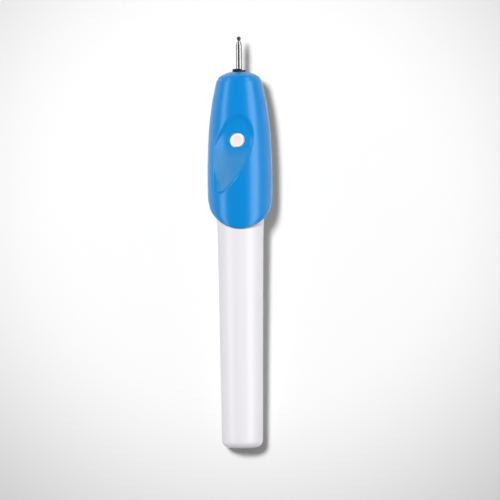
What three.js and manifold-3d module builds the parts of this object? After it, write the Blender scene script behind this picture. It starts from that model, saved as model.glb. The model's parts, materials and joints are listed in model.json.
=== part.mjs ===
// Battery engraving pen: a two-shell grip with a motor, spindle, collet and ball burr,
// and a battery barrel that pulls off its lower end. Millimetres.
// The pen is drawn upright, z up its axis from the barrel's end face, button toward -y.
// At the end it is laid down on its back, the way it rests on a table.
import * as THREE from 'three';
import { mergeVertices } from 'three/addons/utils/BufferGeometryUtils.js';
import Module from 'manifold-3d';

const wasm = await Module();
wasm.setup();

// Driving dimensions
const fitGap = 0.3;
const roundSides = 40;
const smallSides = 24;

const gripHalfWidth = 12.9;
const depthRatio = 0.91;
const gripBottom = 87.5;
const rimCentre = 100;
const noseShoulder = 148;
const noseTop = 149.35;
const sideWall = 1.8;
const frontWall = 2.6;
const cavityTop = 139;
const partingGap = 0.2;
const restTilt = 0.0325;

const bushRadius = 4.2;
const bushBottom = 140;
const bushTop = 145.9;

const buttonX = -1;
const buttonZ = 122.2;
const buttonRadius = 2.65;
const buttonGap = 0.35;
const flangeRadius = 3.4;
const flangeFront = -8.5;
const flangeBack = -7.9;
const buttonFace = -10.6;
const plungerRadius = 1.7;
const recessDepth = 1;
const recessLean = 0.9;

const barrelEndRadius = 8.15;
const barrelEndRounding = 3;
const barrelMouthRadius = 9.4;
const barrelTop = 97.6;
const barrelWall = 1.3;
const barrelBase = 1.8;
const barrelBoreTop = 8.25;

const cellRadius = 5.25;
const cellLength = 43.5;
const cellNub = 1;
const cellBottom = 6.4;
const stripTop = 91.6;

const carrierBase = 99;
const carrierThickness = 1.8;
const motorBase = 102.2;
const motorRadius = 7.75;
const motorFlat = 5.95;
const motorCapHeight = 2.4;
const motorCanHeight = 14.6;
const shaftRadius = 0.75;

const colletRadius = 2.7;
const colletTop = 150.45;
const colletBottom = 131.3;
const jawBottom = 142;
const jawGap = 0.6;
const shankRadius = 1.175;
const shankBottom = 134.4;
const ballRadius = 0.825;
const tipTop = 163.3;

const boardBack = -2.7;
const boardThickness = 1.1;
const screwX = 7.9;
const screwZ = 127;
const screwRadius = 0.95;
const screwHeadRadius = 1.8;
const screwHeadFront = 5.7;
const screwHeadBack = 7;
const bossRadius = 2.2;
const far = 20;

const finish = (color, roughness, metalness = 0) =>
  new THREE.MeshStandardMaterial({ color, roughness, metalness });
const bluePlastic = finish(0x1187d8, 0.28);
const whitePlastic = finish(0xf1f2f8, 0.22);
const buttonPlastic = finish(0xe9e6e2, 0.35);
const blackPlastic = finish(0x141416, 0.5);
const clearWhitePlastic = finish(0xdcdcd6, 0.45);
const rubber = finish(0x1c1c1e, 0.85);
const steel = finish(0xb9bcc0, 0.25, 1);
const zincPlate = finish(0x9b9ea3, 0.4, 1);
const brass = finish(0xc9a24d, 0.3, 1);
const bronze = finish(0x9a6a3a, 0.45, 1);
const copper = finish(0xb4633a, 0.4, 1);
const ferrite = finish(0x37383b, 0.8);
const boardGreen = finish(0x1d6b3c, 0.5);
const redCover = finish(0xb01c1c, 0.55);
const blackCover = finish(0x18181a, 0.55);
const cellWrap = finish(0x33363b, 0.4, 0.3);

// Turns a closed geometry into a manifold solid, leaving out triangles that collapse on the axis.
function solid(geometry) {
  const bare = geometry.clone();
  bare.deleteAttribute('normal');
  bare.deleteAttribute('uv');
  const merged = mergeVertices(bare, 1e-4);
  const corners = merged.index.array;
  const kept = [];
  for (let i = 0; i < corners.length; i += 3) {
    const [a, b, c] = [corners[i], corners[i + 1], corners[i + 2]];
    if (a !== b && b !== c && c !== a) {
      kept.push(a, b, c);
    }
  }
  const vertProperties = Float32Array.from(merged.attributes.position.array);
  const triVerts = Uint32Array.from(kept);
  return new wasm.Manifold(new wasm.Mesh({ numProp: 3, vertProperties, triVerts }));
}

// Turns a manifold solid back into a geometry for a mesh.
function geometryOf(shape) {
  const mesh = shape.getMesh();
  const geometry = new THREE.BufferGeometry();
  geometry.setAttribute('position', new THREE.BufferAttribute(mesh.vertProperties, 3));
  geometry.setIndex(new THREE.BufferAttribute(mesh.triVerts, 1));
  geometry.computeVertexNormals();
  return geometry;
}

// A solid of revolution about z, from [radius, height] points that run upward on the outside.
// Its flats, not its corners, face front, back, left and right, at the profile's radius.
function revolve(profile, sides = roundSides, yScale = 1) {
  const halfTurn = Math.PI / sides;
  const reach = 1 / Math.cos(halfTurn);
  const points = profile.map(([radius, height]) => new THREE.Vector2(radius * reach, height));
  const geometry = new THREE.LatheGeometry(points, sides, halfTurn);
  geometry.rotateX(Math.PI / 2);
  geometry.scale(1, yScale, 1);
  return solid(geometry);
}

function rod(radius, bottom, top, sides = smallSides) {
  const geometry = new THREE.CylinderGeometry(radius, radius, top - bottom, sides);
  geometry.rotateX(Math.PI / 2);
  geometry.translate(0, 0, (bottom + top) / 2);
  return solid(geometry);
}

function tube(inner, outer, bottom, top, sides = smallSides) {
  return rod(outer, bottom, top, sides).subtract(rod(inner, bottom - 1, top + 1, sides));
}

// A round pin that runs front to back, along y.
function crossPin(x, z, radius, front, back, sides = smallSides) {
  const geometry = new THREE.CylinderGeometry(radius, radius, back - front, sides);
  geometry.translate(x, (front + back) / 2, z);
  return solid(geometry);
}

function slab(x0, x1, y0, y1, z0, z1) {
  const geometry = new THREE.BoxGeometry(x1 - x0, y1 - y0, z1 - z0);
  geometry.translate((x0 + x1) / 2, (y0 + y1) / 2, (z0 + z1) / 2);
  return solid(geometry);
}

// An outline in x and z, extruded from front to back along y.
function prism(shape, front, back, curveSegments = 8) {
  const depth = back - front;
  const geometry = new THREE.ExtrudeGeometry(shape, { depth, bevelEnabled: false, curveSegments });
  geometry.rotateX(Math.PI / 2);
  geometry.translate(0, back, 0);
  return solid(geometry);
}

function wire(points, radius) {
  const path = new THREE.CatmullRomCurve3(points.map((p) => new THREE.Vector3(...p)));
  const section = new THREE.Shape().absarc(0, 0, radius, 0, 2 * Math.PI);
  const settings = { steps: 16, extrudePath: path, curveSegments: 4 };
  return solid(new THREE.ExtrudeGeometry(section, settings));
}

function piece(group, name, shape, material) {
  const mesh = new THREE.Mesh(geometryOf(shape), material);
  mesh.name = name;
  group.add(mesh);
}

// The grip's outer surface, narrowed all round by inset.
function gripForm(inset = 0) {
  const swell = new THREE.SplineCurve([
    new THREE.Vector2(11.9, 84),
    new THREE.Vector2(12.6, 94),
    new THREE.Vector2(gripHalfWidth, 104),
    new THREE.Vector2(12.8, 114),
    new THREE.Vector2(12.2, 126),
    new THREE.Vector2(11, 136.2),
    new THREE.Vector2(9.2, 145.2),
    new THREE.Vector2(8.7, 146.6),
  ]);
  const side = swell.getPoints(13).map((p) => [p.x - inset, p.y]);
  const nose = [
    [8.2 - inset, noseShoulder - 0.65],
    [7.4 - inset, noseShoulder],
    [3, noseTop],
    [0, noseTop],
  ];
  return revolve([[0, 84], ...side, ...nose], roundSides, depthRatio);
}

// The rounded lower edge of the grip, seen from the front, carried through front to back.
function rimPrism() {
  const halfWidth = 13.2;
  const height = rimCentre - gripBottom;
  const outline = new THREE.Shape();
  outline.moveTo(halfWidth, noseTop + 2);
  outline.lineTo(-halfWidth, noseTop + 2);
  outline.absellipse(0, rimCentre, halfWidth, height, Math.PI, 2 * Math.PI);
  return prism(outline, -far, far, 14);
}

// The thumb scoop round the button: a leaf that runs out on the left side of the grip.
function thumbScoop() {
  const leaf = new THREE.Shape();
  leaf.moveTo(-0.6, 132.2);
  leaf.bezierCurveTo(2.6, 132.2, 5.1, 128.6, 5.1, 124.2);
  leaf.bezierCurveTo(5.1, 118.6, 2.9, 112.6, -1, 108.1);
  leaf.lineTo(-6.6, 102);
  leaf.lineTo(-10.6, 101.6);
  leaf.lineTo(-10.6, 118.6);
  leaf.bezierCurveTo(-9.8, 123.6, -5, 131.5, -0.6, 132.2);
  const floor = gripForm(recessDepth).translate([-recessLean, 0, 0]);
  return prism(leaf, -far, -3).subtract(floor);
}

// The space below the surface that the pen lies on; it leaves a long flat on the grip's back.
function underTable() {
  const space = slab(-far, far, 0, far, -far, 10 * far);
  return space.rotate([(-restTilt * 180) / Math.PI, 0, 0]).translate([0, barrelEndRadius, barrelEndRounding]);
}

function cavity() {
  const yScale = (gripHalfWidth * depthRatio - frontWall) / (gripHalfWidth - sideWall);
  const room = revolve(
    [
      [0, carrierBase - fitGap],
      [11.1, carrierBase - fitGap],
      [11.1, 112],
      [10.6, 122],
      [9.4, 132],
      [8.2, cavityTop],
      [0, cavityTop],
    ],
    roundSides,
    yScale,
  );
  const barrelSeat = rod(barrelMouthRadius + fitGap, 80, carrierBase, roundSides);
  return room.add(barrelSeat);
}

function shells(group) {
  const spindleBore = rod(colletRadius + 0.2, cavityTop - 1, noseTop + 1);
  const bushSeat = rod(bushRadius + fitGap, cavityTop - 1, bushTop + fitGap);
  const hollow = cavity().add(spindleBore).add(bushSeat);
  const body = gripForm().intersect(rimPrism()).subtract(hollow);
  const room = gripForm(sideWall / 2);
  const parting = partingGap / 2;
  const bosses = [-screwX, screwX].map((x) => ({
    front: crossPin(x, screwZ, bossRadius, -far, -parting).intersect(room),
    rear: crossPin(x, screwZ, bossRadius, parting, far).intersect(room),
    pilot: crossPin(x, screwZ, screwRadius + 0.15, -5.5, 1),
    shank: crossPin(x, screwZ, screwRadius + 0.35, -1, far),
    head: crossPin(x, screwZ, screwHeadRadius + fitGap, screwHeadFront - fitGap, far),
  }));
  let front = body.intersect(slab(-far, far, -far, -parting, 80, 160));
  let rear = body.intersect(slab(-far, far, parting, far, 80, 160)).subtract(underTable());
  for (const boss of bosses) {
    front = front.add(boss.front).subtract(boss.pilot);
    rear = rear.add(boss.rear).subtract(boss.shank).subtract(boss.head);
  }
  const buttonHole = crossPin(buttonX, buttonZ, buttonRadius + buttonGap, -far, -5, 32);
  const flangeRoom = crossPin(buttonX, buttonZ, flangeRadius + fitGap, flangeFront - fitGap, -5, 32);
  front = front.subtract(thumbScoop()).subtract(buttonHole).subtract(flangeRoom);
  piece(group, 'front_shell', front, bluePlastic);
  piece(group, 'rear_shell', rear, bluePlastic);
  const driveFloor = screwHeadBack - 0.5;
  const driveLength = 1.2;
  const driveWidth = 0.25;
  for (const [side, x] of [['left', -screwX], ['right', screwX]]) {
    const head = crossPin(x, screwZ, screwHeadRadius, screwHeadFront, screwHeadBack, 16);
    const thread = crossPin(x, screwZ, screwRadius, -5.1, 6, 16);
    const across = slab(
      x - driveLength, x + driveLength, driveFloor, 8, screwZ - driveWidth, screwZ + driveWidth,
    );
    const along = slab(
      x - driveWidth, x + driveWidth, driveFloor, 8, screwZ - driveLength, screwZ + driveLength,
    );
    const screw = head.add(thread).subtract(across).subtract(along);
    piece(group, `shell_screw_${side}`, screw, zincPlate);
  }
  const bush = tube(colletRadius + 0.1, bushRadius, bushBottom, bushTop, 32);
  piece(group, 'nose_bush', bush, bronze);
}

function board(group) {
  const front = boardBack - boardThickness;
  const standOff = 0.2;
  const plate = slab(-5.2, 5.2, front, boardBack, 120.2, 134);
  piece(group, 'circuit_board', plate, boardGreen);
  const caseFront = -7.05;
  const caseHalf = 3;
  const switchCase = slab(
    buttonX - caseHalf, buttonX + caseHalf,
    caseFront, front - standOff,
    buttonZ - caseHalf + 0.4, buttonZ + caseHalf + 0.4,
  );
  const well = crossPin(buttonX, buttonZ, plungerRadius + 0.25, caseFront - 1, -4.8);
  piece(group, 'switch_case', switchCase.subtract(well), blackPlastic);
  const capacitor = slab(1.6, 4.6, front - 1.6, front - standOff, 128, 130);
  piece(group, 'board_capacitor', capacitor, bronze);
}

function button(group) {
  const cap = crossPin(buttonX, buttonZ, buttonRadius, buttonFace, flangeFront + 0.3, 32);
  const flange = crossPin(buttonX, buttonZ, flangeRadius, flangeFront, flangeBack, 32);
  const dishRadius = 9;
  const dishDepth = 0.2;
  const dish = new THREE.SphereGeometry(dishRadius, 40, 30);
  dish.translate(buttonX, buttonFace - dishRadius + dishDepth, buttonZ);
  piece(group, 'power_button', cap.subtract(solid(dish)).add(flange), buttonPlastic);
  const plunger = crossPin(buttonX, buttonZ, plungerRadius, flangeBack + 0.2, -5.6);
  piece(group, 'switch_plunger', plunger, blackPlastic);
}

// A round motor section with two flats, facing front and back.
function flatted(radius, flat, bottom, top, sides = 32) {
  return rod(radius, bottom, top, sides).intersect(slab(-far, far, -flat, flat, bottom, top));
}

// Everything here is measured from the underside of the motor's end cap.
function motor(group) {
  const canBottom = motorCapHeight + 0.2;
  const canTop = canBottom + motorCanHeight;
  const wall = 0.8;
  const bearingBore = 1.2;
  const bearingRadius = 2.4;
  const can = flatted(motorRadius, motorFlat, canBottom, canTop)
    .subtract(flatted(motorRadius - wall, motorFlat - wall, canBottom - 1, canTop - wall))
    .add(tube(bearingBore, bearingRadius, canTop - wall, canTop + 1.2))
    .subtract(rod(bearingBore, canTop - 3, canTop + 3));
  piece(group, 'motor_can', can, zincPlate);
  const cap = flatted(motorRadius - 0.1, motorFlat - 0.1, 0, motorCapHeight);
  const shaftHole = rod(1, -1, motorCapHeight + 1);
  const tabX = 5;
  const tabRoom = 0.6;
  const tabHalf = 1.2;
  const slots = [-tabX, tabX].map((x) =>
    slab(x - tabRoom, x + tabRoom, -tabHalf - fitGap, tabHalf + fitGap, -1, 4),
  );
  const endCap = cap.subtract(shaftHole).subtract(slots[0]).subtract(slots[1]);
  piece(group, 'motor_end_cap', endCap, clearWhitePlastic);
  const magnetEdge = 2.4;
  const magnetHalf = 4.9;
  const armBottom = 3.3;
  const armTop = 3.8;
  const brushReach = 2.1;
  for (const [side, x] of [['left', -1], ['right', 1]]) {
    const arc = tube(5, 6.6, canBottom + 4, canTop - 2, 32);
    const sector = slab(
      x > 0 ? magnetEdge : -far, x > 0 ? far : -magnetEdge, -magnetHalf, magnetHalf, 0, canTop,
    );
    piece(group, `motor_magnet_${side}`, arc.intersect(sector), ferrite);
    const tab = slab(x * tabX - 0.25, x * tabX + 0.25, -tabHalf, tabHalf, -0.7, armTop);
    const armEnds = [x * brushReach, x * tabX].sort((m, n) => m - n);
    const arm = slab(...armEnds, -0.6, 0.6, armBottom, armTop);
    piece(group, `motor_brush_${side}`, tab.add(arm), copper);
  }
  const cushionInner = motorRadius + 0.25;
  const cushion = tube(cushionInner, cushionInner + 0.75, canBottom + 3, canBottom + 9, 32);
  piece(group, 'motor_cushion', cushion, rubber);
}

// The turning parts inside the motor, measured from the underside of its end cap.
function rotor(group) {
  const coreBottom = 7.2;
  const coreTop = 13.6;
  const coreRadius = 4.6;
  const shaftTop = 23;
  const hub = shaftRadius + 0.1;
  const poles = [0, 120, 240];
  piece(group, 'motor_shaft', rod(shaftRadius, 0.3, shaftTop, 16), steel);
  piece(group, 'commutator', tube(hub, 1.9, 2.9, 5.2, 16), copper);
  const slotNeck = slab(-0.9, 0.9, 2, coreRadius + 1, 0, coreTop + 1);
  const slot = slotNeck.add(slab(-2.6, 2.6, 2.2, 3.7, 0, coreTop + 1));
  let core = tube(hub, coreRadius, coreBottom, coreTop, 36);
  for (const turn of poles) {
    core = core.subtract(slot.rotate([0, 0, turn]));
  }
  piece(group, 'armature_core', core, zincPlate);
  const ringInner = 1.8;
  const ringOuter = 3.9;
  const upperRing = tube(ringInner, ringOuter, coreTop + 0.2, coreTop + 1.6);
  const lowerRing = tube(ringInner, ringOuter, coreBottom - 1.4, coreBottom - 0.2);
  const bar = slab(-2.3, 2.3, 2.5, 3.4, coreBottom - 1, coreTop + 1);
  let winding = upperRing.add(lowerRing);
  for (const turn of poles) {
    winding = winding.add(bar.rotate([0, 0, turn]));
  }
  piece(group, 'armature_winding', winding, copper);
}

function drive(group) {
  const couplingBottom = 121.2;
  const couplingTop = 131;
  const stemRadius = 1.7;
  const step = 126;
  const coupling = rod(2.3, couplingBottom, couplingTop)
    .subtract(rod(shaftRadius + 0.1, couplingBottom - 1, step))
    .subtract(rod(stemRadius + 0.1, step, couplingTop + 1));
  piece(group, 'shaft_coupling', coupling, brass);
  const stem = rod(stemRadius, step + 1, colletBottom + 0.1);
  const sleeve = rod(colletRadius, colletBottom, colletTop, 36);
  let collet = stem.add(sleeve).subtract(rod(shankRadius + 0.1, shankBottom - 0.4, colletTop + 1));
  const jawCut = slab(-5, 5, -jawGap / 2, jawGap / 2, jawBottom, colletTop + 1);
  for (const turn of [0, 60, 120]) {
    collet = collet.subtract(jawCut.rotate([0, 0, turn]));
  }
  piece(group, 'bit_collet', collet, blackPlastic);
}

function burr(group) {
  const ballCentre = tipTop - ballRadius;
  const neckTop = ballCentre - 0.8;
  const shank = revolve(
    [
      [0, shankBottom],
      [shankRadius - 0.2, shankBottom],
      [shankRadius, shankBottom + 0.4],
      [shankRadius, neckTop - 1.9],
      [0.62, neckTop - 0.3],
      [0.42, neckTop],
      [0, neckTop],
    ],
    smallSides,
  );
  piece(group, 'burr_shank', shank, steel);
  const ball = new THREE.SphereGeometry(ballRadius, 14, 10);
  ball.rotateX(Math.PI / 2);
  ball.translate(0, 0, ballCentre);
  const foot = slab(-2, 2, -2, 2, ballCentre - 2, neckTop + 0.1);
  piece(group, 'burr_ball', solid(ball).subtract(foot), zincPlate);
}

function contactCarrier(group) {
  const top = carrierBase + carrierThickness;
  const neckRadius = 7.6;
  const neckBottom = 92.5;
  const sealZ = 95.1;
  const sealRadius = 0.5;
  const bladeY = 5.65;
  const bladeThickness = 0.4;
  const bladeHalf = 1.4;
  const neck = tube(6.3, neckRadius, neckBottom, carrierBase + 0.1, 32);
  const disc = rod(8.7, carrierBase, top, 32);
  const groove = tube(neckRadius - 0.55, 9, sealZ - 0.7, sealZ + 0.7, 32);
  const rivetHole = rod(1.1, neckBottom - 1, top + 1);
  const slotHalf = bladeHalf + fitGap;
  const bladeSlot = slab(-slotHalf, slotHalf, 5.4, 6.4, carrierBase - 1, top + 1);
  const carrier = neck.add(disc).subtract(groove).subtract(rivetHole).subtract(bladeSlot);
  piece(group, 'contact_carrier', carrier, clearWhitePlastic);
  const seal = new THREE.TorusGeometry(neckRadius + 0.08, sealRadius, 8, 32);
  seal.translate(0, 0, sealZ);
  piece(group, 'barrel_seal', solid(seal), rubber);
  const plate = rod(4, 97.9, 98.6, 32).add(rod(0.8, 98.2, top + 0.6));
  piece(group, 'positive_contact', plate, brass);
  const bladeTop = top + 0.5;
  const blade = slab(-bladeHalf, bladeHalf, bladeY, bladeY + bladeThickness, stripTop - 2.6, bladeTop);
  piece(group, 'negative_blade', blade, brass);
}

function barrelInner(height, inset) {
  const slope = (barrelBoreTop - barrelEndRadius + barrelWall) / (barrelTop - barrelBase);
  return barrelEndRadius - barrelWall - inset + slope * (height - barrelBase);
}

function barrel(group) {
  const arc = [];
  const arcSteps = 6;
  for (let i = 0; i <= arcSteps; i += 1) {
    const turn = (i / arcSteps) * (Math.PI / 2);
    const radius = barrelEndRadius - barrelEndRounding * (1 - Math.sin(turn));
    arc.push([radius, barrelEndRounding * (1 - Math.cos(turn))]);
  }
  const outside = revolve([
    [0, 0],
    ...arc,
    [8.52, 38.6],
    [9, 80],
    [9.15, 86],
    [barrelMouthRadius, 91],
    [barrelMouthRadius, barrelTop],
    [0, barrelTop],
  ]);
  const bore = revolve([
    [0, barrelBase],
    [barrelInner(barrelBase, 1), barrelBase],
    [barrelInner(barrelBase + 1, 0), barrelBase + 1],
    [barrelBoreTop, barrelTop],
    [barrelBoreTop, barrelTop + 1],
    [0, barrelTop + 1],
  ]);
  const ribTop = 90;
  const ribHalf = 0.6;
  const ribReach = 9;
  const ribBottom = barrelBase + 3;
  const cellRoom = rod(cellRadius + fitGap, 0, ribTop + 1, 32);
  const ribs = slab(-ribReach, ribReach, -ribHalf, ribHalf, ribBottom, ribTop)
    .add(slab(-ribHalf, ribHalf, -ribReach, 0, ribBottom, ribTop))
    .subtract(cellRoom);
  piece(group, 'battery_barrel', outside.subtract(bore.subtract(ribs)), whitePlastic);
  const sheet = 0.4;
  const plateBottom = barrelBase + fitGap;
  const springPlate = rod(5, plateBottom, plateBottom + sheet, 32);
  const stripHalf = 1.6;
  const foot = slab(-stripHalf, stripHalf, 4, 5.5, plateBottom, plateBottom + sheet);
  piece(group, 'spring_plate', springPlate.add(foot), brass);
  const stripIn = barrelInner(barrelBase, fitGap);
  const strip = slab(-stripHalf, stripHalf, stripIn - sheet, stripIn, barrelBase + 1, stripTop);
  piece(group, 'contact_strip', strip, brass);
}

function batterySpring(group) {
  const turns = 3;
  const bottom = barrelBase + 1.25;
  const top = cellBottom - 0.55;
  const points = [];
  const pointsPerTurn = 10;
  for (let i = 0; i <= turns * pointsPerTurn; i += 1) {
    const part = i / (turns * pointsPerTurn);
    const angle = part * turns * 2 * Math.PI;
    const radius = 4.2 - 1.6 * part;
    const height = bottom + (top - bottom) * part;
    points.push(new THREE.Vector3(radius * Math.cos(angle), radius * Math.sin(angle), height));
  }
  const path = new THREE.CatmullRomCurve3(points);
  const section = new THREE.Shape().absarc(0, 0, 0.3, 0, 2 * Math.PI);
  const settings = { steps: 42, extrudePath: path, curveSegments: 3 };
  piece(group, 'battery_spring', solid(new THREE.ExtrudeGeometry(section, settings)), steel);
}

function cell(group, name, bottom) {
  const top = bottom + cellLength;
  const bead = 0.4;
  const nubRadius = 1.9;
  const can = revolve(
    [
      [0, bottom],
      [cellRadius - bead, bottom],
      [cellRadius, bottom + bead],
      [cellRadius, top - bead],
      [cellRadius - bead, top],
      [nubRadius, top],
      [nubRadius, top + cellNub],
      [0, top + cellNub],
    ],
    smallSides,
  );
  piece(group, name, can, cellWrap);
}

function leads(group) {
  const route = [
    [4.6, -1.9, 122],
    [8.2, -1.6, 119.6],
    [9.75, -1, 112],
    [9.6, -0.6, 104.5],
    [7.6, -0.5, 101.6],
    [6.2, -0.3, 101.45],
  ];
  const mirrored = route.map(([x, y, z]) => [-x, y, z]);
  piece(group, 'lead_red', wire(mirrored, 0.4), redCover);
  piece(group, 'lead_black', wire(route, 0.4), blackCover);
}

const pen = new THREE.Group();
const grip = new THREE.Group();
const motorBody = new THREE.Group();
const spindle = new THREE.Group();
const batteryEnd = new THREE.Group();
pen.add(grip, motorBody, spindle, batteryEnd);
motorBody.position.z = motorBase;

shells(grip);
board(grip);
button(grip);
contactCarrier(grip);
leads(grip);
motor(motorBody);
rotor(motorBody);
drive(spindle);
burr(spindle);
barrel(batteryEnd);
batterySpring(batteryEnd);
cell(batteryEnd, 'lower_cell', cellBottom);
cell(batteryEnd, 'upper_cell', cellBottom + cellLength + cellNub + 0.2);

// Laid down: the pen rests on the flat of the grip's back and the edge of the barrel's end.
pen.rotation.x = -Math.PI / 2 + restTilt;
pen.updateMatrixWorld(true);
const box = new THREE.Box3().setFromObject(pen, true);
pen.position.set(-(box.min.x + box.max.x) / 2, -(box.min.y + box.max.y) / 2, -box.min.z);
pen.updateMatrixWorld(true);

export default pen;
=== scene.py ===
import bpy
import json
import math
import numpy as np
from mathutils import Matrix, Vector


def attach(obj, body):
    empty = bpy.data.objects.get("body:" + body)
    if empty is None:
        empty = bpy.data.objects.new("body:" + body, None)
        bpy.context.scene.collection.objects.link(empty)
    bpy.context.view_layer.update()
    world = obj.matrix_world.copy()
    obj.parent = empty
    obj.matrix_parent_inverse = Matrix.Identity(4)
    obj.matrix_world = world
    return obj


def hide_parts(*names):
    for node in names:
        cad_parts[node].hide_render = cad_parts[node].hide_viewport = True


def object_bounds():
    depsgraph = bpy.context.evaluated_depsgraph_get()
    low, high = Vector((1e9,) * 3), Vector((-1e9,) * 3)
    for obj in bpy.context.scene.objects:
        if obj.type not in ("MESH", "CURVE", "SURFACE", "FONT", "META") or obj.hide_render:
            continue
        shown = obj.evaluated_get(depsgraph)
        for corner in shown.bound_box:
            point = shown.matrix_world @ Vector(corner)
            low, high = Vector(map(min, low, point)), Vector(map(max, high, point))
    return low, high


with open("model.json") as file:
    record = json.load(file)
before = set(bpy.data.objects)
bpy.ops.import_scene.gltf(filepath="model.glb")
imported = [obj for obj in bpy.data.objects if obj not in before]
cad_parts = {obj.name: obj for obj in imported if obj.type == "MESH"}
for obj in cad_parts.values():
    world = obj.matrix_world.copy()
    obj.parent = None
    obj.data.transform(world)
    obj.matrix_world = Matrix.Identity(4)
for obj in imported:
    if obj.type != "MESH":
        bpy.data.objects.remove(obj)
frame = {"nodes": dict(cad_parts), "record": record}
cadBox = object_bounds()
mm = 0.001
print("frame loaded")

# the pen's own axes: z up the axis from the barrel's end face, button toward -y
endFace = next(m for m in frame["record"]["mounts"] if m["name"] == "barrel_end_face")
penAxis = -Vector(endFace["axis"]).normalized()
standUp = Vector((0, 0, 1)).rotation_difference(penAxis).to_matrix().to_4x4()
layDown = Matrix.Translation(Vector(endFace["pos_m"])) @ standUp
toPen = layDown.inverted()


def penBox(node):
    # lowest and highest corner of a CAD node in the pen's own axes, in mm
    points = np.array([toPen @ v.co for v in frame["nodes"][node].data.vertices]) / mm
    return points.min(0), points.max(0)


# helpers for working as by hand

def deselectAll():
    if bpy.context.object and bpy.context.object.mode != "OBJECT":
        bpy.ops.object.mode_set(mode="OBJECT")
    bpy.ops.object.select_all(action="DESELECT")


def pick(obj):
    deselectAll()
    obj.select_set(True)
    bpy.context.view_layer.objects.active = obj


def openEdit(obj, kind="VERT"):
    pick(obj)
    bpy.ops.object.mode_set(mode="EDIT")
    bpy.ops.mesh.select_mode(type=kind)
    bpy.ops.mesh.select_all(action="SELECT")


def closeEdit():
    bpy.ops.object.mode_set(mode="OBJECT")


def applyPlace(obj):
    pick(obj)
    bpy.ops.object.transform_apply(location=True, rotation=True, scale=True)


def mergeAndFace(obj, distance=0.002):
    openEdit(obj)
    bpy.ops.mesh.remove_doubles(threshold=distance * mm)
    bpy.ops.mesh.normals_make_consistent(inside=False)
    closeEdit()


def applyModifier(obj, kind, **values):
    pick(obj)
    modifier = obj.modifiers.new(kind.title(), kind)
    for key, value in values.items():
        setattr(modifier, key, value)
    bpy.ops.object.modifier_apply(modifier=modifier.name)


def cut(obj, cutter):
    applyModifier(obj, "BOOLEAN", object=cutter, operation="DIFFERENCE", solver="EXACT")
    bpy.data.objects.remove(cutter)


def smooth(obj, angle=30):
    pick(obj)
    bpy.ops.object.shade_smooth_by_angle(angle=math.radians(angle))


def turned(name, rings, sides):
    # a turned piece: a circle is extruded and resized from ring to ring, [radius, height] in mm
    deselectAll()
    radius, height = rings[0]
    bpy.ops.mesh.primitive_circle_add(vertices=sides, radius=radius * mm, location=(0, 0, height * mm))
    obj = bpy.context.object
    obj.name = name
    obj.data.name = name
    applyPlace(obj)
    openEdit(obj, "EDGE")
    for nextRadius, nextHeight in rings[1:]:
        rise = (0, 0, (nextHeight - height) * mm)
        bpy.ops.mesh.extrude_edges_move(TRANSFORM_OT_translate={"value": rise})
        factor = nextRadius / radius
        bpy.ops.transform.resize(value=(factor, factor, 1), center_override=(0, 0, nextHeight * mm))
        radius, height = nextRadius, nextHeight
    bpy.ops.mesh.select_all(action="SELECT")
    bpy.ops.mesh.fill_holes(sides=0)
    bpy.ops.mesh.select_all(action="SELECT")
    bpy.ops.mesh.normals_make_consistent(inside=False)
    closeEdit()
    return obj


def rounding(centreRadius, centreHeight, radius, start, end, steps=5):
    # points of an arc for a turned piece, angles in degrees from the outward direction
    points = []
    for i in range(steps + 1):
        angle = math.radians(start + (end - start) * i / steps)
        points.append((centreRadius + radius * math.cos(angle), centreHeight + radius * math.sin(angle)))
    return points


def block(name, low, high):
    # a box between two corners in mm, for cutters
    deselectAll()
    size = [(h - l) * mm for l, h in zip(low, high)]
    centre = [(l + h) / 2 * mm for l, h in zip(low, high)]
    bpy.ops.mesh.primitive_cube_add(size=1, location=centre)
    obj = bpy.context.object
    obj.name = name
    obj.scale = size
    applyPlace(obj)
    return obj


def faceForward(obj, x, z):
    # a piece turned about z is laid to run along y, and put at x and z in mm
    obj.rotation_euler = (math.radians(90), 0, 0)
    obj.location = (x * mm, 0, z * mm)
    applyPlace(obj)


def finishPiece(obj, body, material, nodes):
    # from the pen's axes to the frame, then its place, its body and its finish
    obj.matrix_world = layDown @ obj.matrix_world
    applyPlace(obj)
    obj.data.materials.clear()
    obj.data.materials.append(material)
    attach(obj, body)
    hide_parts(*nodes)


# shader groups: effects that several materials share

def newGroup(name, inputs, outputs):
    group = bpy.data.node_groups.new(name, "ShaderNodeTree")
    for socketName, kind, default in inputs:
        socket = group.interface.new_socket(name=socketName, in_out="INPUT", socket_type=kind)
        socket.default_value = default
    for socketName, kind in outputs:
        group.interface.new_socket(name=socketName, in_out="OUTPUT", socket_type=kind)
    return group, group.nodes.new("NodeGroupInput"), group.nodes.new("NodeGroupOutput")


def addNode(tree, kind, **values):
    node = tree.nodes.new(kind)
    for key, value in values.items():
        setattr(node, key, value)
    return node


def mixColour(tree, factor, a, b):
    mix = addNode(tree, "ShaderNodeMix", data_type="RGBA")
    tree.links.new(factor, mix.inputs["Factor"])
    tree.links.new(a, mix.inputs[6])
    tree.links.new(b, mix.inputs[7])
    return mix.outputs[2]


def mapRange(tree, value, low, high):
    node = addNode(tree, "ShaderNodeMapRange")
    tree.links.new(value, node.inputs["Value"])
    for socket, name in ((low, "To Min"), (high, "To Max")):
        if isinstance(socket, (int, float)):
            node.inputs[name].default_value = socket
        else:
            tree.links.new(socket, node.inputs[name])
    return node.outputs["Result"]


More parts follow.
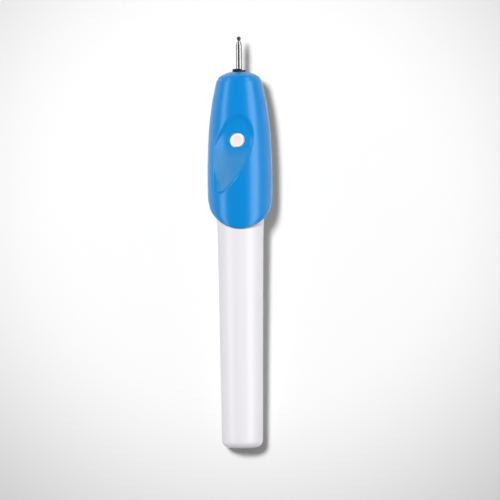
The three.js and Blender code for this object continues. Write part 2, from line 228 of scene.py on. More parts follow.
def buildMouldedGroup():
    # moulded plastic: broad tone drift, fine texture of the mould, rubbed patches in the gloss
    group, given, result = newGroup(
        "mouldedSurface",
        [("Tone A", "NodeSocketColor", (0.5, 0.5, 0.5, 1)), ("Tone B", "NodeSocketColor", (0.4, 0.4, 0.4, 1)),
         ("Drift Size", "NodeSocketFloat", 30.0), ("Grain Size", "NodeSocketFloat", 2500.0),
         ("Rough Low", "NodeSocketFloat", 0.2), ("Rough High", "NodeSocketFloat", 0.35)],
        [("Colour", "NodeSocketColor"), ("Roughness", "NodeSocketFloat"), ("Height", "NodeSocketFloat")])
    links = group.links
    place = addNode(group, "ShaderNodeTexCoord").outputs["Object"]
    drift = addNode(group, "ShaderNodeTexNoise")
    drift.inputs["Detail"].default_value = 3
    links.new(place, drift.inputs["Vector"])
    links.new(given.outputs["Drift Size"], drift.inputs["Scale"])
    grain = addNode(group, "ShaderNodeTexNoise")
    grain.inputs["Detail"].default_value = 4
    links.new(place, grain.inputs["Vector"])
    links.new(given.outputs["Grain Size"], grain.inputs["Scale"])
    rubbed = addNode(group, "ShaderNodeTexNoise")
    rubbed.inputs["Scale"].default_value = 140
    rubbed.inputs["Detail"].default_value = 6
    links.new(place, rubbed.inputs["Vector"])
    colour = mixColour(group, drift.outputs["Fac"], given.outputs["Tone A"], given.outputs["Tone B"])
    links.new(colour, result.inputs["Colour"])
    low, high = given.outputs["Rough Low"], given.outputs["Rough High"]
    roughness = mapRange(group, rubbed.outputs["Fac"], low, high)
    links.new(roughness, result.inputs["Roughness"])
    links.new(grain.outputs["Fac"], result.inputs["Height"])
    return group


def buildMetalGroup():
    # worked metal: turning or drawing lines stretched along one axis, with duller patches
    group, given, result = newGroup(
        "workedMetal",
        [("Tone A", "NodeSocketColor", (0.6, 0.6, 0.6, 1)), ("Tone B", "NodeSocketColor", (0.4, 0.4, 0.4, 1)),
         ("Line Size", "NodeSocketFloat", 900.0), ("Stretch", "NodeSocketVector", (1.0, 12.0, 1.0)),
         ("Rough Low", "NodeSocketFloat", 0.15), ("Rough High", "NodeSocketFloat", 0.4)],
        [("Colour", "NodeSocketColor"), ("Roughness", "NodeSocketFloat"), ("Height", "NodeSocketFloat")])
    links = group.links
    place = addNode(group, "ShaderNodeTexCoord").outputs["Object"]
    stretch = addNode(group, "ShaderNodeVectorMath", operation="MULTIPLY")
    links.new(place, stretch.inputs[0])
    links.new(given.outputs["Stretch"], stretch.inputs[1])
    lines = addNode(group, "ShaderNodeTexNoise")
    lines.inputs["Detail"].default_value = 5
    links.new(stretch.outputs["Vector"], lines.inputs["Vector"])
    links.new(given.outputs["Line Size"], lines.inputs["Scale"])
    patches = addNode(group, "ShaderNodeTexNoise")
    patches.inputs["Scale"].default_value = 260
    links.new(place, patches.inputs["Vector"])
    colour = mixColour(group, patches.outputs["Fac"], given.outputs["Tone A"], given.outputs["Tone B"])
    links.new(colour, result.inputs["Colour"])
    roughness = mapRange(group, lines.outputs["Fac"], given.outputs["Rough Low"], given.outputs["Rough High"])
    links.new(roughness, result.inputs["Roughness"])
    links.new(lines.outputs["Fac"], result.inputs["Height"])
    return group


def buildWearGroup():
    # edges rubbed a little lighter, found from how sharply the surface turns
    group, given, result = newGroup(
        "edgeWear",
        [("Colour", "NodeSocketColor", (0.5, 0.5, 0.5, 1)),
         ("Worn Colour", "NodeSocketColor", (0.7, 0.7, 0.7, 1)),
         ("Amount", "NodeSocketFloat", 0.5)],
        [("Colour", "NodeSocketColor"), ("Mask", "NodeSocketFloat")])
    links = group.links
    place = addNode(group, "ShaderNodeTexCoord").outputs["Object"]
    turn = addNode(group, "ShaderNodeNewGeometry").outputs["Pointiness"]
    edge = addNode(group, "ShaderNodeMapRange")
    edge.inputs["From Min"].default_value = 0.52
    edge.inputs["From Max"].default_value = 0.62
    links.new(turn, edge.inputs["Value"])
    broken = addNode(group, "ShaderNodeTexNoise")
    broken.inputs["Scale"].default_value = 700
    links.new(place, broken.inputs["Vector"])
    mask = addNode(group, "ShaderNodeMath", operation="MULTIPLY")
    links.new(edge.outputs["Result"], mask.inputs[0])
    links.new(broken.outputs["Fac"], mask.inputs[1])
    worn = addNode(group, "ShaderNodeMath", operation="MULTIPLY")
    links.new(mask.outputs["Value"], worn.inputs[0])
    links.new(given.outputs["Amount"], worn.inputs[1])
    links.new(mixColour(group, worn.outputs["Value"], given.outputs["Colour"], given.outputs["Worn Colour"]),
              result.inputs["Colour"])
    links.new(worn.outputs["Value"], result.inputs["Mask"])
    return group


groups = {"moulded": buildMouldedGroup(), "metal": buildMetalGroup(), "wear": buildWearGroup()}


wearAmount = 0.4


def newMaterial(name, group, inputs, shader, bump, wornColour=None, paintedGrazingShade=None, bounce=None,
                dullPatchPaintedShading=None):
    material = bpy.data.materials.new(name)
    material.use_nodes = True
    tree = material.node_tree
    principled = tree.nodes["Principled BSDF"]
    surface = addNode(tree, "ShaderNodeGroup", node_tree=groups[group])
    for key, value in inputs.items():
        surface.inputs[key].default_value = value
    colour = surface.outputs["Colour"]
    if wornColour:
        worn = addNode(tree, "ShaderNodeGroup", node_tree=groups["wear"])
        worn.inputs["Worn Colour"].default_value = wornColour
        worn.inputs["Amount"].default_value = wearAmount
        tree.links.new(colour, worn.inputs["Colour"])
        colour = worn.outputs["Colour"]
    if paintedGrazingShade:
        # painted shade: the colour turns dark where the surface turns away from the view, standing in for the
        # dark reflection along the steel's edges
        turnedAway = addNode(tree, "ShaderNodeLayerWeight")
        turnedAway.inputs["Blend"].default_value = 0.5
        shade = addNode(tree, "ShaderNodeMapRange", interpolation_type="SMOOTHSTEP")
        shade.inputs["From Min"].default_value = 0.35
        shade.inputs["From Max"].default_value = 0.75
        tree.links.new(turnedAway.outputs["Facing"], shade.inputs["Value"])
        mix = addNode(tree, "ShaderNodeMix", data_type="RGBA")
        tree.links.new(shade.outputs["Result"], mix.inputs["Factor"])
        tree.links.new(colour, mix.inputs[6])
        mix.inputs[7].default_value = paintedGrazingShade
        colour = mix.outputs[2]
    if dullPatchPaintedShading:
        # a floor or dish with a duller finish than the polished outside, and a painted tone: greyer on the
        # grip's scoop as a painted sheen, darker in the button's dish as painted shade
        dull = addNode(tree, "ShaderNodeAttribute", attribute_name="dull").outputs["Fac"]
        mix = addNode(tree, "ShaderNodeMix", data_type="RGBA")
        tree.links.new(dull, mix.inputs["Factor"])
        tree.links.new(colour, mix.inputs[6])
        mix.inputs[7].default_value = dullPatchPaintedShading["tone"]
        colour = mix.outputs[2]
    if bounce:
        # what this piece bounces is given a darker, nearly neutral tone, so that it doesn't tint the floor:
        # painted shade that keeps the shadow beside the pen deep
        path = addNode(tree, "ShaderNodeLightPath")
        mix = addNode(tree, "ShaderNodeMix", data_type="RGBA")
        tree.links.new(path.outputs["Is Diffuse Ray"], mix.inputs["Factor"])
        tree.links.new(colour, mix.inputs[6])
        mix.inputs[7].default_value = bounce
        colour = mix.outputs[2]
    tree.links.new(colour, principled.inputs["Base Color"])
    roughness = surface.outputs["Roughness"]
    if dullPatchPaintedShading:
        roughness = mapRange(tree, dull, roughness, dullPatchPaintedShading["rough"])
    tree.links.new(roughness, principled.inputs["Roughness"])
    relief = addNode(tree, "ShaderNodeBump")
    relief.inputs["Strength"].default_value = bump["strength"]
    relief.inputs["Distance"].default_value = bump["depth"] * mm
    tree.links.new(surface.outputs["Height"], relief.inputs["Height"])
    tree.links.new(relief.outputs["Normal"], principled.inputs["Normal"])
    for key, value in shader.items():
        principled.inputs[key].default_value = value
    return material


def plastic(name, toneA, toneB, rough, worn=None, grain=2500.0, bump=0.2, depth=0.01, bounce=None,
            dullPatchPaintedShading=None, **shader):
    return newMaterial(
        name, "moulded",
        {"Tone A": (*toneA, 1), "Tone B": (*toneB, 1), "Grain Size": grain,
         "Rough Low": rough[0], "Rough High": rough[1]},
        {"IOR": 1.5, **shader}, {"strength": bump, "depth": depth}, (*worn, 1) if worn else None,
        bounce=bounce, dullPatchPaintedShading=dullPatchPaintedShading)


def metal(name, toneA, toneB, rough, stretch=(1.0, 12.0, 1.0), lines=900.0, bump=0.15, depth=0.01, rim=None):
    # rim: a painted dark reflection along the edges, also given as the tint of the reflection
    return newMaterial(
        name, "metal",
        {"Tone A": (*toneA, 1), "Tone B": (*toneB, 1), "Stretch": stretch, "Line Size": lines,
         "Rough Low": rough[0], "Rough High": rough[1]},
        {"Metallic": 1.0, "Specular Tint": rim or (1, 1, 1, 1)}, {"strength": bump, "depth": depth},
        paintedGrazingShade=rim)


materials = {
    # the blue's scooped tone is a painted sheen on the scoop's floor; the button's is painted shade in its
    # dish
    "blue_grip": plastic("bluePlastic", (0.0, 0.25, 0.67), (0.0, 0.24, 0.65), (0.25, 0.28), grain=6000.0,
                         bump=0.05, bounce=(0.24, 0.24, 0.26, 1), **{"Specular Tint": (0.97, 1, 0.85, 1)},
                         dullPatchPaintedShading={"rough": 0.5, "tone": (0.035, 0.25, 0.57, 1)}),
    "white_barrel": plastic("whitePlastic", (0.84, 0.82, 0.86), (0.81, 0.79, 0.83), (0.38, 0.42),
                            grain=6000.0, bump=0.05, bounce=(0.35, 0.35, 0.36, 1)),
    "button_white": plastic("buttonPlastic", (0.9, 0.95, 1.0), (0.88, 0.94, 0.98), (0.25, 0.35), bump=0.05,
                            dullPatchPaintedShading={"rough": 0.4, "tone": (0.86, 0.76, 0.75, 1)}),
    "black_plastic": plastic("blackPlastic", (0.006, 0.006, 0.008), (0.01, 0.01, 0.012), (0.45, 0.6),
                             (0.05, 0.05, 0.055)),
    "natural_plastic": plastic("naturalNylon", (0.68, 0.66, 0.6), (0.6, 0.58, 0.52), (0.35, 0.5)),
    "rubber": plastic("blackRubber", (0.015, 0.015, 0.016), (0.025, 0.025, 0.026), (0.65, 0.85), bump=0.4),
    "board": plastic("solderMask", (0.015, 0.16, 0.06), (0.01, 0.11, 0.045), (0.3, 0.45)),
    "ceramic": plastic("tanCeramic", (0.45, 0.28, 0.13), (0.36, 0.22, 0.1), (0.5, 0.7)),
    "red_cover": plastic("redWire", (0.42, 0.015, 0.012), (0.34, 0.01, 0.01), (0.4, 0.55)),
    "black_cover": plastic("blackWire", (0.018, 0.018, 0.018), (0.03, 0.03, 0.03), (0.4, 0.55)),
    "cell_jacket": plastic("cellJacket", (0.05, 0.055, 0.07), (0.035, 0.04, 0.05), (0.25, 0.4),
                           (0.5, 0.5, 0.52), Metallic=0.4),
    "ferrite": plastic("sinteredFerrite", (0.03, 0.03, 0.033), (0.05, 0.05, 0.054), (0.6, 0.8), bump=0.5),
    # the polished steel's rim colour is a painted dark reflection along its edges
    "bright_steel": metal("polishedSteel", (0.56, 0.55, 0.54), (0.47, 0.46, 0.46), (0.14, 0.24), bump=0.05,
                          rim=(0.06, 0.06, 0.06, 1)),
    "grit_steel": metal("gritSteel", (0.16, 0.16, 0.17), (0.08, 0.08, 0.09), (0.4, 0.65), (1.0, 1.0, 1.0),
                        6000.0, 0.6, 0.03),
    "zinc_steel": metal("zincSteel", (0.55, 0.56, 0.58), (0.42, 0.43, 0.46), (0.28, 0.45)),
    "brass": metal("brightBrass", (0.8, 0.58, 0.25), (0.66, 0.46, 0.18), (0.18, 0.35)),
    "bronze": metal("sinteredBronze", (0.42, 0.23, 0.1), (0.3, 0.16, 0.07), (0.4, 0.6)),
    "copper": metal("copperWire", (0.75, 0.33, 0.16), (0.55, 0.22, 0.1), (0.25, 0.42), (1.0, 1.0, 8.0)),
}
print("materials made")

# camera, straight above the pen with a long lens, turned half a degree about its own axis
camera = {"height": 1.6, "viewWidth": 0.2, "sensor": 36.0, "aimX": 0.0037, "aimY": -0.00305, "lean": 0.52}


def addCamera(values):
    low, high = cadBox
    middle = (Vector(low) + Vector(high)) / 2
    data = bpy.data.cameras.new("viewCamera")
    data.sensor_width = values["sensor"]
    data.lens = values["sensor"] * values["height"] / values["viewWidth"]
    data.clip_end = 20
    obj = bpy.data.objects.new("viewCamera", data)
    bpy.context.scene.collection.objects.link(obj)
    obj.location = (middle.x + values["aimX"], middle.y + values["aimY"], values["height"])
    obj.rotation_euler = (0, 0, math.radians(-values["lean"]))
    bpy.context.scene.camera = obj


addCamera(camera)

low, high = penBox("power_button")
buttonX, buttonZ, buttonFront = (low[0] + high[0]) / 2, (low[2] + high[2]) / 2, low[1]

# the grip: its section is an ellipse whose size changes along the pen, in mm
grip = {
    "swell": [(11.9, 84), (12.6, 94), (12.9, 104), (12.8, 114), (12.2, 126), (11, 136.2), (9.15, 145),
              (8.55, 146.2)],
    "flatness": 0.91, "rimCentre": 100, "rimRise": 12.5, "rimHalfWidth": 13.2, "rimRounding": 0.5,
    "rimPull": 0.35, "barrelSeat": 9.7, "seatTop": 98.9, "sideTop": 146.2, "noseTop": 149.35,
    "noseBore": 2.9, "cavity": [(11.1, 99.0), (11.1, 112), (10.6, 122), (9.4, 132), (8.2, 139)],
    "cavityFlatness": 0.823, "columns": [(-88, 14), (-64, 170), (34, 28), (88, 0)],
    "rows": (28, 175, 30), "parting": 0.06, "partingGroove": 0.14,
    "noseEdge": [(8.46, 146.45), (8.28, 146.8), (8.0, 147.18), (7.62, 147.52), (7.15, 147.82), (6.6, 148.07)],
    "tableGap": 0.01, "noseBulge": 0.2, "noseMouth": 3.1,
}
scoop = {
    "outline": [((-0.6, 132.3), (2.6, 132.3), (5.2, 128.6), (5.2, 124.2)),
                ((5.2, 124.2), (5.2, 118.6), (3, 112.6), (-1, 108.1)),
                ((-1, 108.1), (-2.6, 106.3), (-4.6, 104.2), (-6.6, 101.9)),
                ((-6.6, 101.9), (-7.6, 101.3), (-9.4, 101.2), (-10.6, 101.6)),
                ((-10.6, 101.6), (-10.8, 106), (-10.8, 112), (-10.6, 118.6)),
                ((-10.6, 118.6), (-9.8, 123.6), (-5, 131.6), (-0.6, 132.3))],
    "wall": 0.75, "wallTilt": 0.03, "drop": (0.15, 0.85), "dropEase": (0.4, 0.35),
    "softTop": 1.5, "softFrom": 119, "softTo": 130,
    "lip": (-0.55, 0.4), "lipDepth": 0.62, "lipHeight": 104, "lipSpread": 6, "crease": 0.25,
    "bowl": 0.65, "bowlReach": 3.6, "from": 100.5, "to": 133.5,
    # the dull patch on the scoop's lower floor: rougher, with a greyer tone painted in as a sheen
    "dullInside": (0.35, 1.2), "dullLean": -0.1, "dullAlong": (120.5, 114),
    "fadeFrom": -12.0, "fadeTo": -8.6, "ring": (3.55, 3.1), "ringDepth": 0.5,
    "pocket": (-8.4, 104), "pocketReach": 1.7, "pocketDepth": 0.25,
}


def splinePoints(points, steps=40):
    # an even Catmull-Rom curve, as the frame's own outline is drawn
    result = []
    for i in range(len(points) - 1):
        p = [np.array(points[max(0, min(len(points) - 1, i + k))], float) for k in (-1, 0, 1, 2)]
        for j in range(steps):
            t = j / steps
            v0, v1 = (p[2] - p[0]) / 2, (p[3] - p[1]) / 2
            result.append((2 * p[1] - 2 * p[2] + v0 + v1) * t ** 3
                          + (-3 * p[1] + 3 * p[2] - 2 * v0 - v1) * t ** 2 + v0 * t + p[1])
    result.append(np.array(points[-1], float))
    return np.array(result)


swellCurve = splinePoints(grip["swell"])


def gripWidth(z):
    return np.interp(z, swellCurve[:, 1], swellCurve[:, 0])


def rimHeight(x):
    across = np.clip(np.abs(x) / grip["rimHalfWidth"], 0, 1)
    return grip["rimCentre"] - grip["rimRise"] * np.sqrt(1 - across ** 2)


def bezierPoints(corners, steps=14):
    a, b, c, d = [np.array(p, float) for p in corners]
    t = np.linspace(0, 1, steps, endpoint=False)[:, None]
    return a * (1 - t) ** 3 + 3 * b * t * (1 - t) ** 2 + 3 * c * t * t * (1 - t) + d * t ** 3


def signedInside(x, z, outline):
    # distance to a closed outline, positive inside it
    nearest = np.full(x.shape, 1e9)
    inside = np.zeros(x.shape, bool)
    following = np.roll(outline, -1, axis=0)
    for (ax, az), (bx, bz) in zip(outline, following):
        dx, dz = bx - ax, bz - az
        t = np.clip(((x - ax) * dx + (z - az) * dz) / (dx * dx + dz * dz), 0, 1)
        nearest = np.minimum(nearest, np.hypot(x - ax - t * dx, z - az - t * dz))
        crosses = (az > z) != (bz > z)
        if bz != az:
            inside ^= crosses & (x < ax + (z - az) * dx / dz)
    return np.where(inside, nearest, -nearest)


def smoothStep(value, low, high):
    t = np.clip((value - low) / (high - low), 0, 1)
    return t * t * (3 - 2 * t)


def scoopDistance(x, z):
    return signedInside(x, z, np.concatenate([bezierPoints(c) for c in scoop["outline"]]))


def scoopDepth(distance, x, z):
    # an even lip along the lower crease, a short drop inside it that is softer at the top, and a bowl
    fade = smoothStep(x, scoop["fadeFrom"], scoop["fadeTo"])
    near = np.exp(-((z - scoop["lipHeight"]) / scoop["lipSpread"]) ** 2)
    lipStart, lipEnd = scoop["lip"]
    lip = near * scoop["lipDepth"] * np.clip((distance - lipStart) / (lipEnd - lipStart), 0, 1)
    soft = scoop["softTop"] * smoothStep(z, scoop["softFrom"], scoop["softTo"])
    dropStart, dropEnd = scoop["drop"]
    easeStart, easeEnd = scoop["dropEase"]
    dropStart = dropStart - (1 - near) * easeStart - soft * easeStart
    wall = np.maximum(scoop["wall"] + scoop["wallTilt"] * x, 0.05) + scoop["crease"] * near
    drop = wall * smoothStep(distance, dropStart, dropEnd - (1 - near) * easeEnd + soft)
    bowl = scoop["bowl"] * (1 - np.exp(-np.maximum(distance, 0) / scoop["bowlReach"]))
    ring = scoop["ringDepth"] * smoothStep(np.hypot(x - buttonX, z - buttonZ), *scoop["ring"])
    pocketX, pocketZ = scoop["pocket"]
    away = np.hypot(x - pocketX, z - pocketZ) / scoop["pocketReach"]
    pocket = scoop["pocketDepth"] * np.exp(-away ** 2)
    return fade * (lip + drop + bowl + pocket) + ring


def gripColumn(angle):
    # one closed section line of a half shell at that angle from the front, in mm
    s, c = math.sin(angle), math.cos(angle)
    flat = grip["flatness"]
    z = grip["rimCentre"]
    for _ in range(12):
        z = float(rimHeight(gripWidth(z) * s))
    seat = grip["barrelSeat"]
    inner = np.array([seat * s, -seat * c])
    rimRadius = float(gripWidth(z)) - grip["rimPull"]
    outer = np.array([rimRadius * s, -rimRadius * flat * c])
    points = []
    for t in (0.04, 0.3, 0.55, 0.78, 0.9):   # underside, from the seat outwards
        x, y = inner + (outer - inner) * t
        points.append((x, y, float(rimHeight(x)) + (0.06 if t < 0.1 else 0.0)))
    edge = points[-1]
    start = z + grip["rimRounding"]
    top = grip["sideTop"]
    rows = []
    low, fine, high = grip["rows"]
    heights = np.concatenate([np.linspace(start, scoop["from"], low, endpoint=False),
                              np.linspace(scoop["from"], scoop["to"], fine, endpoint=False),
                              np.linspace(scoop["to"], top, high)])
    for height in heights:
        pull = grip["rimPull"] * max(0.0, 1 - (height - z) / 2.2) ** 2
        radius = float(gripWidth(height)) - pull
        rows.append((radius * s, -radius * flat * c, height))
    first = np.array(rows[0])
    corner = np.array((rows[0][0], rows[0][1], z)) * 0.75 + np.array(edge) * 0.25
    for t in (0.3, 0.6, 0.85):   # the rounded edge of the rim
        bend = np.array(edge) * (1 - t) ** 2 + 2 * t * (1 - t) * corner + first * t * t
        points.append(tuple(bend))
    points += rows
    nose = list(grip["noseEdge"])
    lastRadius, lastHeight = nose[-1]
    for t in np.linspace(0.08, 1, 14):
        rise = (grip["noseTop"] - 0.04 - lastHeight) * t
        height = lastHeight + rise + grip["noseBulge"] * math.sin(math.pi * t)
        nose.append((lastRadius + (grip["noseMouth"] - lastRadius) * t, height))
    nose += [(2.98, grip["noseTop"] - 0.08), (grip["noseBore"], grip["noseTop"] - 0.22),
             (grip["noseBore"], 148), (grip["noseBore"], 146.2), (4.5, 146.2), (4.5, 139.1)]
    for radius, height in nose:
        roundness = min(1.0, max(0.0, (8.6 - radius) / 5.6))
        k = flat + (1 - flat) * roundness
        points.append((radius * s, -radius * k * c, height))
    for radius, height in reversed(grip["cavity"]):
        points.append((radius * s, -radius * grip["cavityFlatness"] * c, height))
    points.append((seat * s, -seat * c, grip["seatTop"]))
    points.append((seat * s, -seat * c, float(rimHeight(seat * s)) + 0.35))
    return points


def tableBehind(z):
    # how far back the surface under the pen lies at a height along the pen, in mm
    normal = toPen.to_3x3() @ Vector((0, 0, 1))
    nearest = toPen @ Vector((0, 0, cadBox[0][2]))
    return (normal.dot(nearest) / mm - normal.z * z) / normal.y


def gripHalf(name, front):
    # a half shell as one closed skin: section lines side by side, and its parting faces as ends
    ends = [88.6, 89.2, 89.6]
    spans = zip(grip["columns"], grip["columns"][1:])
    inside = [np.linspace(a, b, count, endpoint=False) for (a, count), (b, _) in spans]
    angles = [-a for a in reversed(ends)] + list(np.concatenate(inside)) + [88] + ends
    lines = np.array([gripColumn(math.radians(a)) for a in angles])
    outerStart, outerEnd = 5, 8 + sum(grip["rows"]) + len(grip["noseEdge"]) + 6
    dull = np.zeros(lines.shape[:2])
    if front:
        x, y, z = [lines[:, outerStart:outerEnd, i] for i in range(3)]
        distance = scoopDistance(x, z)
        depth = scoopDepth(distance, x, z)
        # the scoop's lower floor: a duller finish and a greyer tone, the tone a painted sheen
        along = z - scoop["dullLean"] * x
        fade = smoothStep(x, scoop["fadeFrom"], scoop["fadeTo"])
        inside = smoothStep(distance, *scoop["dullInside"]) * fade
        dull[:, outerStart:outerEnd] = inside * smoothStep(along, *scoop["dullAlong"])
        width = gripWidth(z)
        nx, ny = x / width ** 2, y / (width * grip["flatness"]) ** 2
        size = np.hypot(nx, ny)
        lines[:, outerStart:outerEnd, 0] -= depth * nx / size
        lines[:, outerStart:outerEnd, 1] -= depth * ny / size
    closeness = np.clip(1 - np.abs(lines[:, 3:outerEnd, 1]) / 0.32, 0, 1) ** 1.5
    lines[:, 3:outerEnd, 0] -= np.sign(lines[:, 3:outerEnd, 0]) * closeness * grip["partingGroove"]
    lines[:, :, 1] = np.minimum(lines[:, :, 1], -grip["parting"])
    if not front:
        lines[:, :, 1] *= -1
        lines[:, :, 1] = np.minimum(lines[:, :, 1], tableBehind(lines[:, :, 2]) - grip["tableGap"])
    columns, perLine = lines.shape[:2]
    faces = []
    for i in range(columns - 1):
        for j in range(perLine):
            k = (j + 1) % perLine
            faces.append((i * perLine + j, i * perLine + k, (i + 1) * perLine + k, (i + 1) * perLine + j))
    faces.append(tuple(range(perLine)))
    faces.append(tuple(range((columns - 1) * perLine, columns * perLine)))
    mesh = bpy.data.meshes.new(name)
    mesh.from_pydata([tuple(p * mm) for p in lines.reshape(-1, 3)], [], faces)
    mesh.attributes.new("dull", "FLOAT", "POINT").data.foreach_set("value", dull.ravel())
    obj = bpy.data.objects.new(name, mesh)
    bpy.context.scene.collection.objects.link(obj)
    mergeAndFace(obj)
    return obj


def pinCutter(x, z, radius, front, back, sides=64):
    deselectAll()
    bpy.ops.mesh.primitive_cylinder_add(vertices=sides, radius=radius * mm, depth=(back - front) * mm)
    obj = bpy.context.object
    obj.rotation_euler = (math.radians(90), 0, 0)
    obj.location = (x * mm, (front + back) / 2 * mm, z * mm)
    applyPlace(obj)
    return obj


buttonRoom = {"hole": 3.0, "flangeRoom": 3.75, "flangeRoomFront": -8.7, "clearOf": -20, "into": -5}


def makeFrontShell():
    shell = gripHalf("frontShell", True)
    room = buttonRoom
    cut(shell, pinCutter(buttonX, buttonZ, room["flangeRoom"], room["flangeRoomFront"], room["into"]))
    cut(shell, pinCutter(buttonX, buttonZ, room["hole"], room["clearOf"], room["into"]))
    smooth(shell, 55)
    finishPiece(shell, "grip", materials["blue_grip"], ["front_shell"])


screwRoom = {"radius": 2.1, "from": 5.4, "to": 20}


def makeRearShell():
    shell = gripHalf("rearShell", False)
    for side in ("left", "right"):
        low, high = penBox(f"shell_screw_{side}")
        x, z = (low[0] + high[0]) / 2, (low[2] + high[2]) / 2
        cut(shell, pinCutter(x, z, screwRoom["radius"], screwRoom["from"], screwRoom["to"]))
    smooth(shell, 32)
    finishPiece(shell, "grip", materials["blue_grip"], ["rear_shell"])


makeFrontShell()
makeRearShell()
print("grip shells made")

barrelShape = {
    "endRadius": 8.146, "endRounding": 3.0, "wall": 1.3, "base": 1.8, "top": 97.6, "mouth": 9.4,
    "mouthBore": 8.25,
    "taper": [(8.35, 20), (8.52, 38.6), (8.76, 60), (9.0, 80), (9.06, 84), (9.2, 87.5), (9.36, 90.2)],
}


def makeBarrel(values):
    r, f = values["endRadius"], values["endRounding"]
    rings = [(0.6, 0), (r - f, 0)] + rounding(r - f, f, f, -80, 0, 9) + values["taper"]
    rings += [(values["mouth"], 92.5), (values["mouth"], values["top"] - 0.3)]
    rings += rounding(values["mouth"] - 0.3, values["top"] - 0.3, 0.3, 30, 90, 3)
    rings += [(values["mouthBore"] + 0.2, values["top"]), (values["mouthBore"], values["top"] - 0.25)]
    inner, base = r - values["wall"], values["base"]
    rings += [(inner, base + 1.2), (inner - 1, base), (0.6, base)]
    barrel = turned("batteryBarrel", rings, 128)
    smooth(barrel, 35)
    finishPiece(barrel, "barrel", materials["white_barrel"], ["battery_barrel"])


makeBarrel(barrelShape)

buttonShape = {"radius": 2.6, "edge": 0.2, "lip": 0.6, "dish": 0.22, "flange": 3.4, "flangeBack": 7.9,
               "flangeFront": 8.1}


def makeButton(values):
    r, e = values["radius"], values["edge"]
    top = -buttonFront
    flange, front = values["flange"], values["flangeFront"]
    rings = [(flange, values["flangeBack"]), (flange, front), (r, front + 0.05), (r, top - e)]
    rings += rounding(r - e, top - e, e, 15, 90, 5)
    bowl = r - e - values["lip"]
    for t in (0, 0.12, 0.3, 0.5, 0.7, 0.85, 0.97):
        rings.append((bowl * (1 - t) + 0.02, top - 0.02 - values["dish"] * math.sin(t * math.pi / 2)))
    button = turned("powerButton", rings, 64)
    across = np.array([math.hypot(v.co.x, v.co.y) / mm for v in button.data.vertices])
    # the dish: a duller finish and a darker, pinker tone painted in as shade
    dished = (across < bowl + 0.05).astype(float)
    button.data.attributes.new("dull", "FLOAT", "POINT").data.foreach_set("value", dished)
    faceForward(button, buttonX, buttonZ)
    smooth(button, 40)
    finishPiece(button, "button", materials["button_white"], ["power_button"])


makeButton(buttonShape)

colletShape = {"radius": 2.7, "bore": 1.28, "slot": 0.34, "slotBottom": 142, "edge": 0.22, "shortBy": 0.5,
               "shortFrom": 1.1}


def makeCollet(values):
    low, high = penBox("bit_collet")
    r, e, top = values["radius"], values["edge"], high[2]
    rings = [(1.7, low[2]), (1.7, 131.3), (r, 131.3), (r, top - e)] + rounding(r - e, top - e, e, 20, 90, 3)
    rings += [(values["bore"] + 0.25, top), (values["bore"], top - 0.25), (values["bore"], 134), (0.3, 133.6)]
    collet = turned("bitCollet", rings, 72)
    for turn in (0, 60, 120):
        slot = block("slot", (-5, -values["slot"], values["slotBottom"]), (5, values["slot"], top + 2))
        slot.rotation_euler = (0, 0, math.radians(turn))
        applyPlace(slot)
        cut(collet, slot)
    short = block("short", (values["shortFrom"], -5, top - values["shortBy"]), (5, 5, top + 2))
    cut(collet, short)
    applyModifier(collet, "BEVEL", width=0.08 * mm, segments=2, limit_method="ANGLE",
                  angle_limit=math.radians(50))
    smooth(collet, 40)
    finishPiece(collet, "spindle", materials["black_plastic"], ["bit_collet"])


makeCollet(colletShape)


def makeBurr():
    low, high = penBox("burr_shank")
    ballLow, ballHigh = penBox("burr_ball")
    radius = (high[0] - low[0]) / 2
    neck = ballLow[2]
    rings = [(0.3, low[2]), (radius - 0.25, low[2]), (radius, low[2] + 0.3), (radius, neck - 2.1)]
    rings += [(radius - 0.02, neck - 1.85), (radius - 0.2, neck - 1.3), (0.68, neck - 0.4), (0.6, neck - 0.2)]
    rings += [(0.45, neck), (0.3, neck)]
    shank = turned("burrShank", rings, 64)
    smooth(shank, 35)
    finishPiece(shank, "burr", materials["bright_steel"], ["burr_shank"])
    ballRadius = (ballHigh[0] - ballLow[0]) / 2
    centre = ballHigh[2] - ballRadius
    deselectAll()
    bpy.ops.mesh.primitive_uv_sphere_add(segments=48, ring_count=32, radius=ballRadius * mm * 0.985,
                                         location=(0, 0, centre * mm))
    ball = bpy.context.object
    ball.name = "burrBall"
    applyPlace(ball)
    grit = bpy.data.textures.new("grit", "CLOUDS")
    grit.noise_scale = 0.12 * mm
    applyModifier(ball, "DISPLACE", texture=grit, strength=0.03 * mm, mid_level=0.5, texture_coords="LOCAL")
    smooth(ball, 60)
    finishPiece(ball, "burr", materials["grit_steel"], ["burr_ball"])


makeBurr()


screwShape = {"point": -5, "thread": 0.95, "head": 1.8, "headFrom": 5.7, "headTo": 6.5, "slot": 0.22,
              "slotTurn": 20}


def makeScrews(values):
    for side in ("left", "right"):
        node = f"shell_screw_{side}"
        low, high = penBox(node)
        x, z = (low[0] + high[0]) / 2, (low[2] + high[2]) / 2
        thread, head, point = values["thread"], values["head"], values["point"]
        rings = [(0.3, point), (0.75, point + 0.8), (thread, point + 1.6), (thread, values["headFrom"])]
        rings += [(head, values["headFrom"]), (head, values["headTo"])]
        rings += rounding(1.2, 6.4, 0.6, 10, 90, 4) + [(0.3, 7.0)]
        screw = turned(f"shellScrew_{side}", rings, 48)
        for turn in (0, 90):
            slot = block("slot", (-1.15, -values["slot"], 6.3), (1.15, values["slot"], 8))
            slot.rotation_euler = (0, 0, math.radians(turn + values["slotTurn"]))
            applyPlace(slot)
            cut(screw, slot)
        screw.rotation_euler = (math.radians(-90), 0, 0)
        screw.location = (x * mm, 0, z * mm)
        applyPlace(screw)
        smooth(screw, 35)
        finishPiece(screw, "grip", materials["zinc_steel"], [node])


makeScrews(screwShape)
print("turned pieces made")


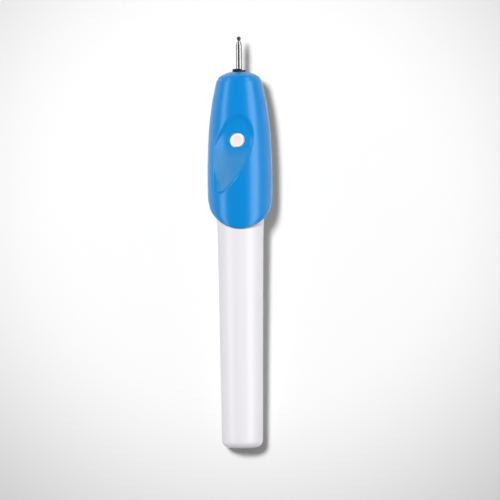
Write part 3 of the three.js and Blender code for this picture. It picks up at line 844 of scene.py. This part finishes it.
def refineNode(node, body, slot):
    # an inner piece: a copy of its solid with softened edges and a smooth skin
    source = frame["nodes"][node]
    words = node.split("_")
    copy = bpy.data.objects.new(words[0] + "".join(w.title() for w in words[1:]), source.data.copy())
    bpy.context.scene.collection.objects.link(copy)
    openEdit(copy)
    bpy.ops.mesh.remove_doubles(threshold=0.003 * mm)
    bpy.ops.mesh.dissolve_limited(angle_limit=math.radians(1))
    closeEdit()
    applyModifier(copy, "BEVEL", width=0.06 * mm, segments=2, limit_method="ANGLE",
                  angle_limit=math.radians(40), use_clamp_overlap=True)
    smooth(copy, 40)
    copy.data.materials.clear()
    copy.data.materials.append(materials[slot])
    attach(copy, body)
    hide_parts(node)


nodeSlots = {part["node"]: part["material_slot"] for part in frame["record"]["subparts"]}
shaped = {"front_shell", "rear_shell", "battery_barrel", "power_button", "bit_collet", "burr_shank",
          "burr_ball", "shell_screw_left", "shell_screw_right"}
for bodyName, nodeNames in frame["record"]["behaviour"]["bodies"].items():
    for nodeName in nodeNames:
        if nodeName not in shaped:
            refineNode(nodeName, bodyName, nodeSlots[nodeName])
print("inner pieces refined")


# the floor's colour is a painted pool of light: pale round a point near the pen, painted darker towards its
# edges
floorPaintedPool = {"size": 6, "tone": 0.917, "edgeTone": 0.515, "brightTo": 0.07, "edgeAt": 0.192, "centreX": 0.003,
             "centreY": 0.01535}


def addFloor(values):
    deselectAll()
    bpy.ops.mesh.primitive_plane_add(size=values["size"], location=(0, 0, cadBox[0][2] - 0.0001))
    floor = bpy.context.object
    floor.name = "floor"
    material = bpy.data.materials.new("paleFloor")
    material.use_nodes = True
    tree = material.node_tree
    shader = tree.nodes["Principled BSDF"]
    shader.inputs["Roughness"].default_value = 0.9
    centre = addNode(tree, "ShaderNodeMapping")
    centre.inputs["Location"].default_value = (-values["centreX"], -values["centreY"], 0)
    tree.links.new(addNode(tree, "ShaderNodeTexCoord").outputs["Object"], centre.inputs["Vector"])
    distance = addNode(tree, "ShaderNodeVectorMath", operation="LENGTH")
    tree.links.new(centre.outputs["Vector"], distance.inputs[0])
    # painted light: the floor is painted darker with distance from its bright middle
    fade = addNode(tree, "ShaderNodeMapRange", interpolation_type="SMOOTHSTEP")
    fade.inputs["From Min"].default_value = values["brightTo"]
    fade.inputs["From Max"].default_value = values["edgeAt"]
    fade.inputs["To Min"].default_value = values["tone"]
    fade.inputs["To Max"].default_value = values["edgeTone"]
    tree.links.new(distance.outputs["Value"], fade.inputs["Value"])
    tree.links.new(fade.outputs["Result"], shader.inputs["Base Color"])
    floor.data.materials.append(material)


def addLight(name, values):
    data = bpy.data.lights.new(name, "AREA")
    data.shape = "RECTANGLE"
    data.size, data.size_y = values["size"]
    data.energy = values["power"]
    data.use_shadow = values.get("shadow", True)
    obj = bpy.data.objects.new(name, data)
    bpy.context.scene.collection.objects.link(obj)
    obj.visible_glossy = values["sees"] == "glossy"
    obj.visible_diffuse = values["sees"] == "diffuse"
    obj.location = values["place"]
    x, y, z = values["place"]
    if values["sees"] == "glossy":   # the strips run level beside the pen
        y = 0
    obj.rotation_euler = Vector((-x, -y, -z)).to_track_quat("-Z", "Y").to_euler()


# a key from the upper left for the shadow, and a long strip on each side for the streaks along the pen
studio = {
    "keyLight": {"place": (-0.35, 0.34, 1.45), "size": (0.26, 0.26), "power": 21, "sees": "diffuse"},
    "rightFill": {"place": (1.0, 0, 0.25), "size": (0.4, 0.9), "power": 5, "sees": "diffuse",
                  "shadow": False},
    "leftStrip": {"place": (-0.89, 0.3, 0.51), "size": (1.7, 0.36), "power": 6.2, "sees": "glossy"},
    "rightStrip": {"place": (0.75, 0.3, 0.66), "size": (1.7, 0.5), "power": 9.2, "sees": "glossy"},
}
sky = {"level": 0.12, "seen": 0.86}


def addStudio():
    for name, values in studio.items():
        addLight(name, values)
    world = bpy.data.worlds.new("studio")
    world.use_nodes = True
    tree = world.node_tree
    path = addNode(tree, "ShaderNodeLightPath")
    strength = mapRange(tree, path.outputs["Is Camera Ray"], sky["level"], sky["seen"])
    tree.links.new(strength, tree.nodes["Background"].inputs["Strength"])
    tree.nodes["Background"].inputs["Color"].default_value = (1, 1, 1, 1)
    bpy.context.scene.world = world
    bpy.context.scene.view_settings.view_transform = "Standard"


addFloor(floorPaintedPool)
addStudio()
print("stage set")
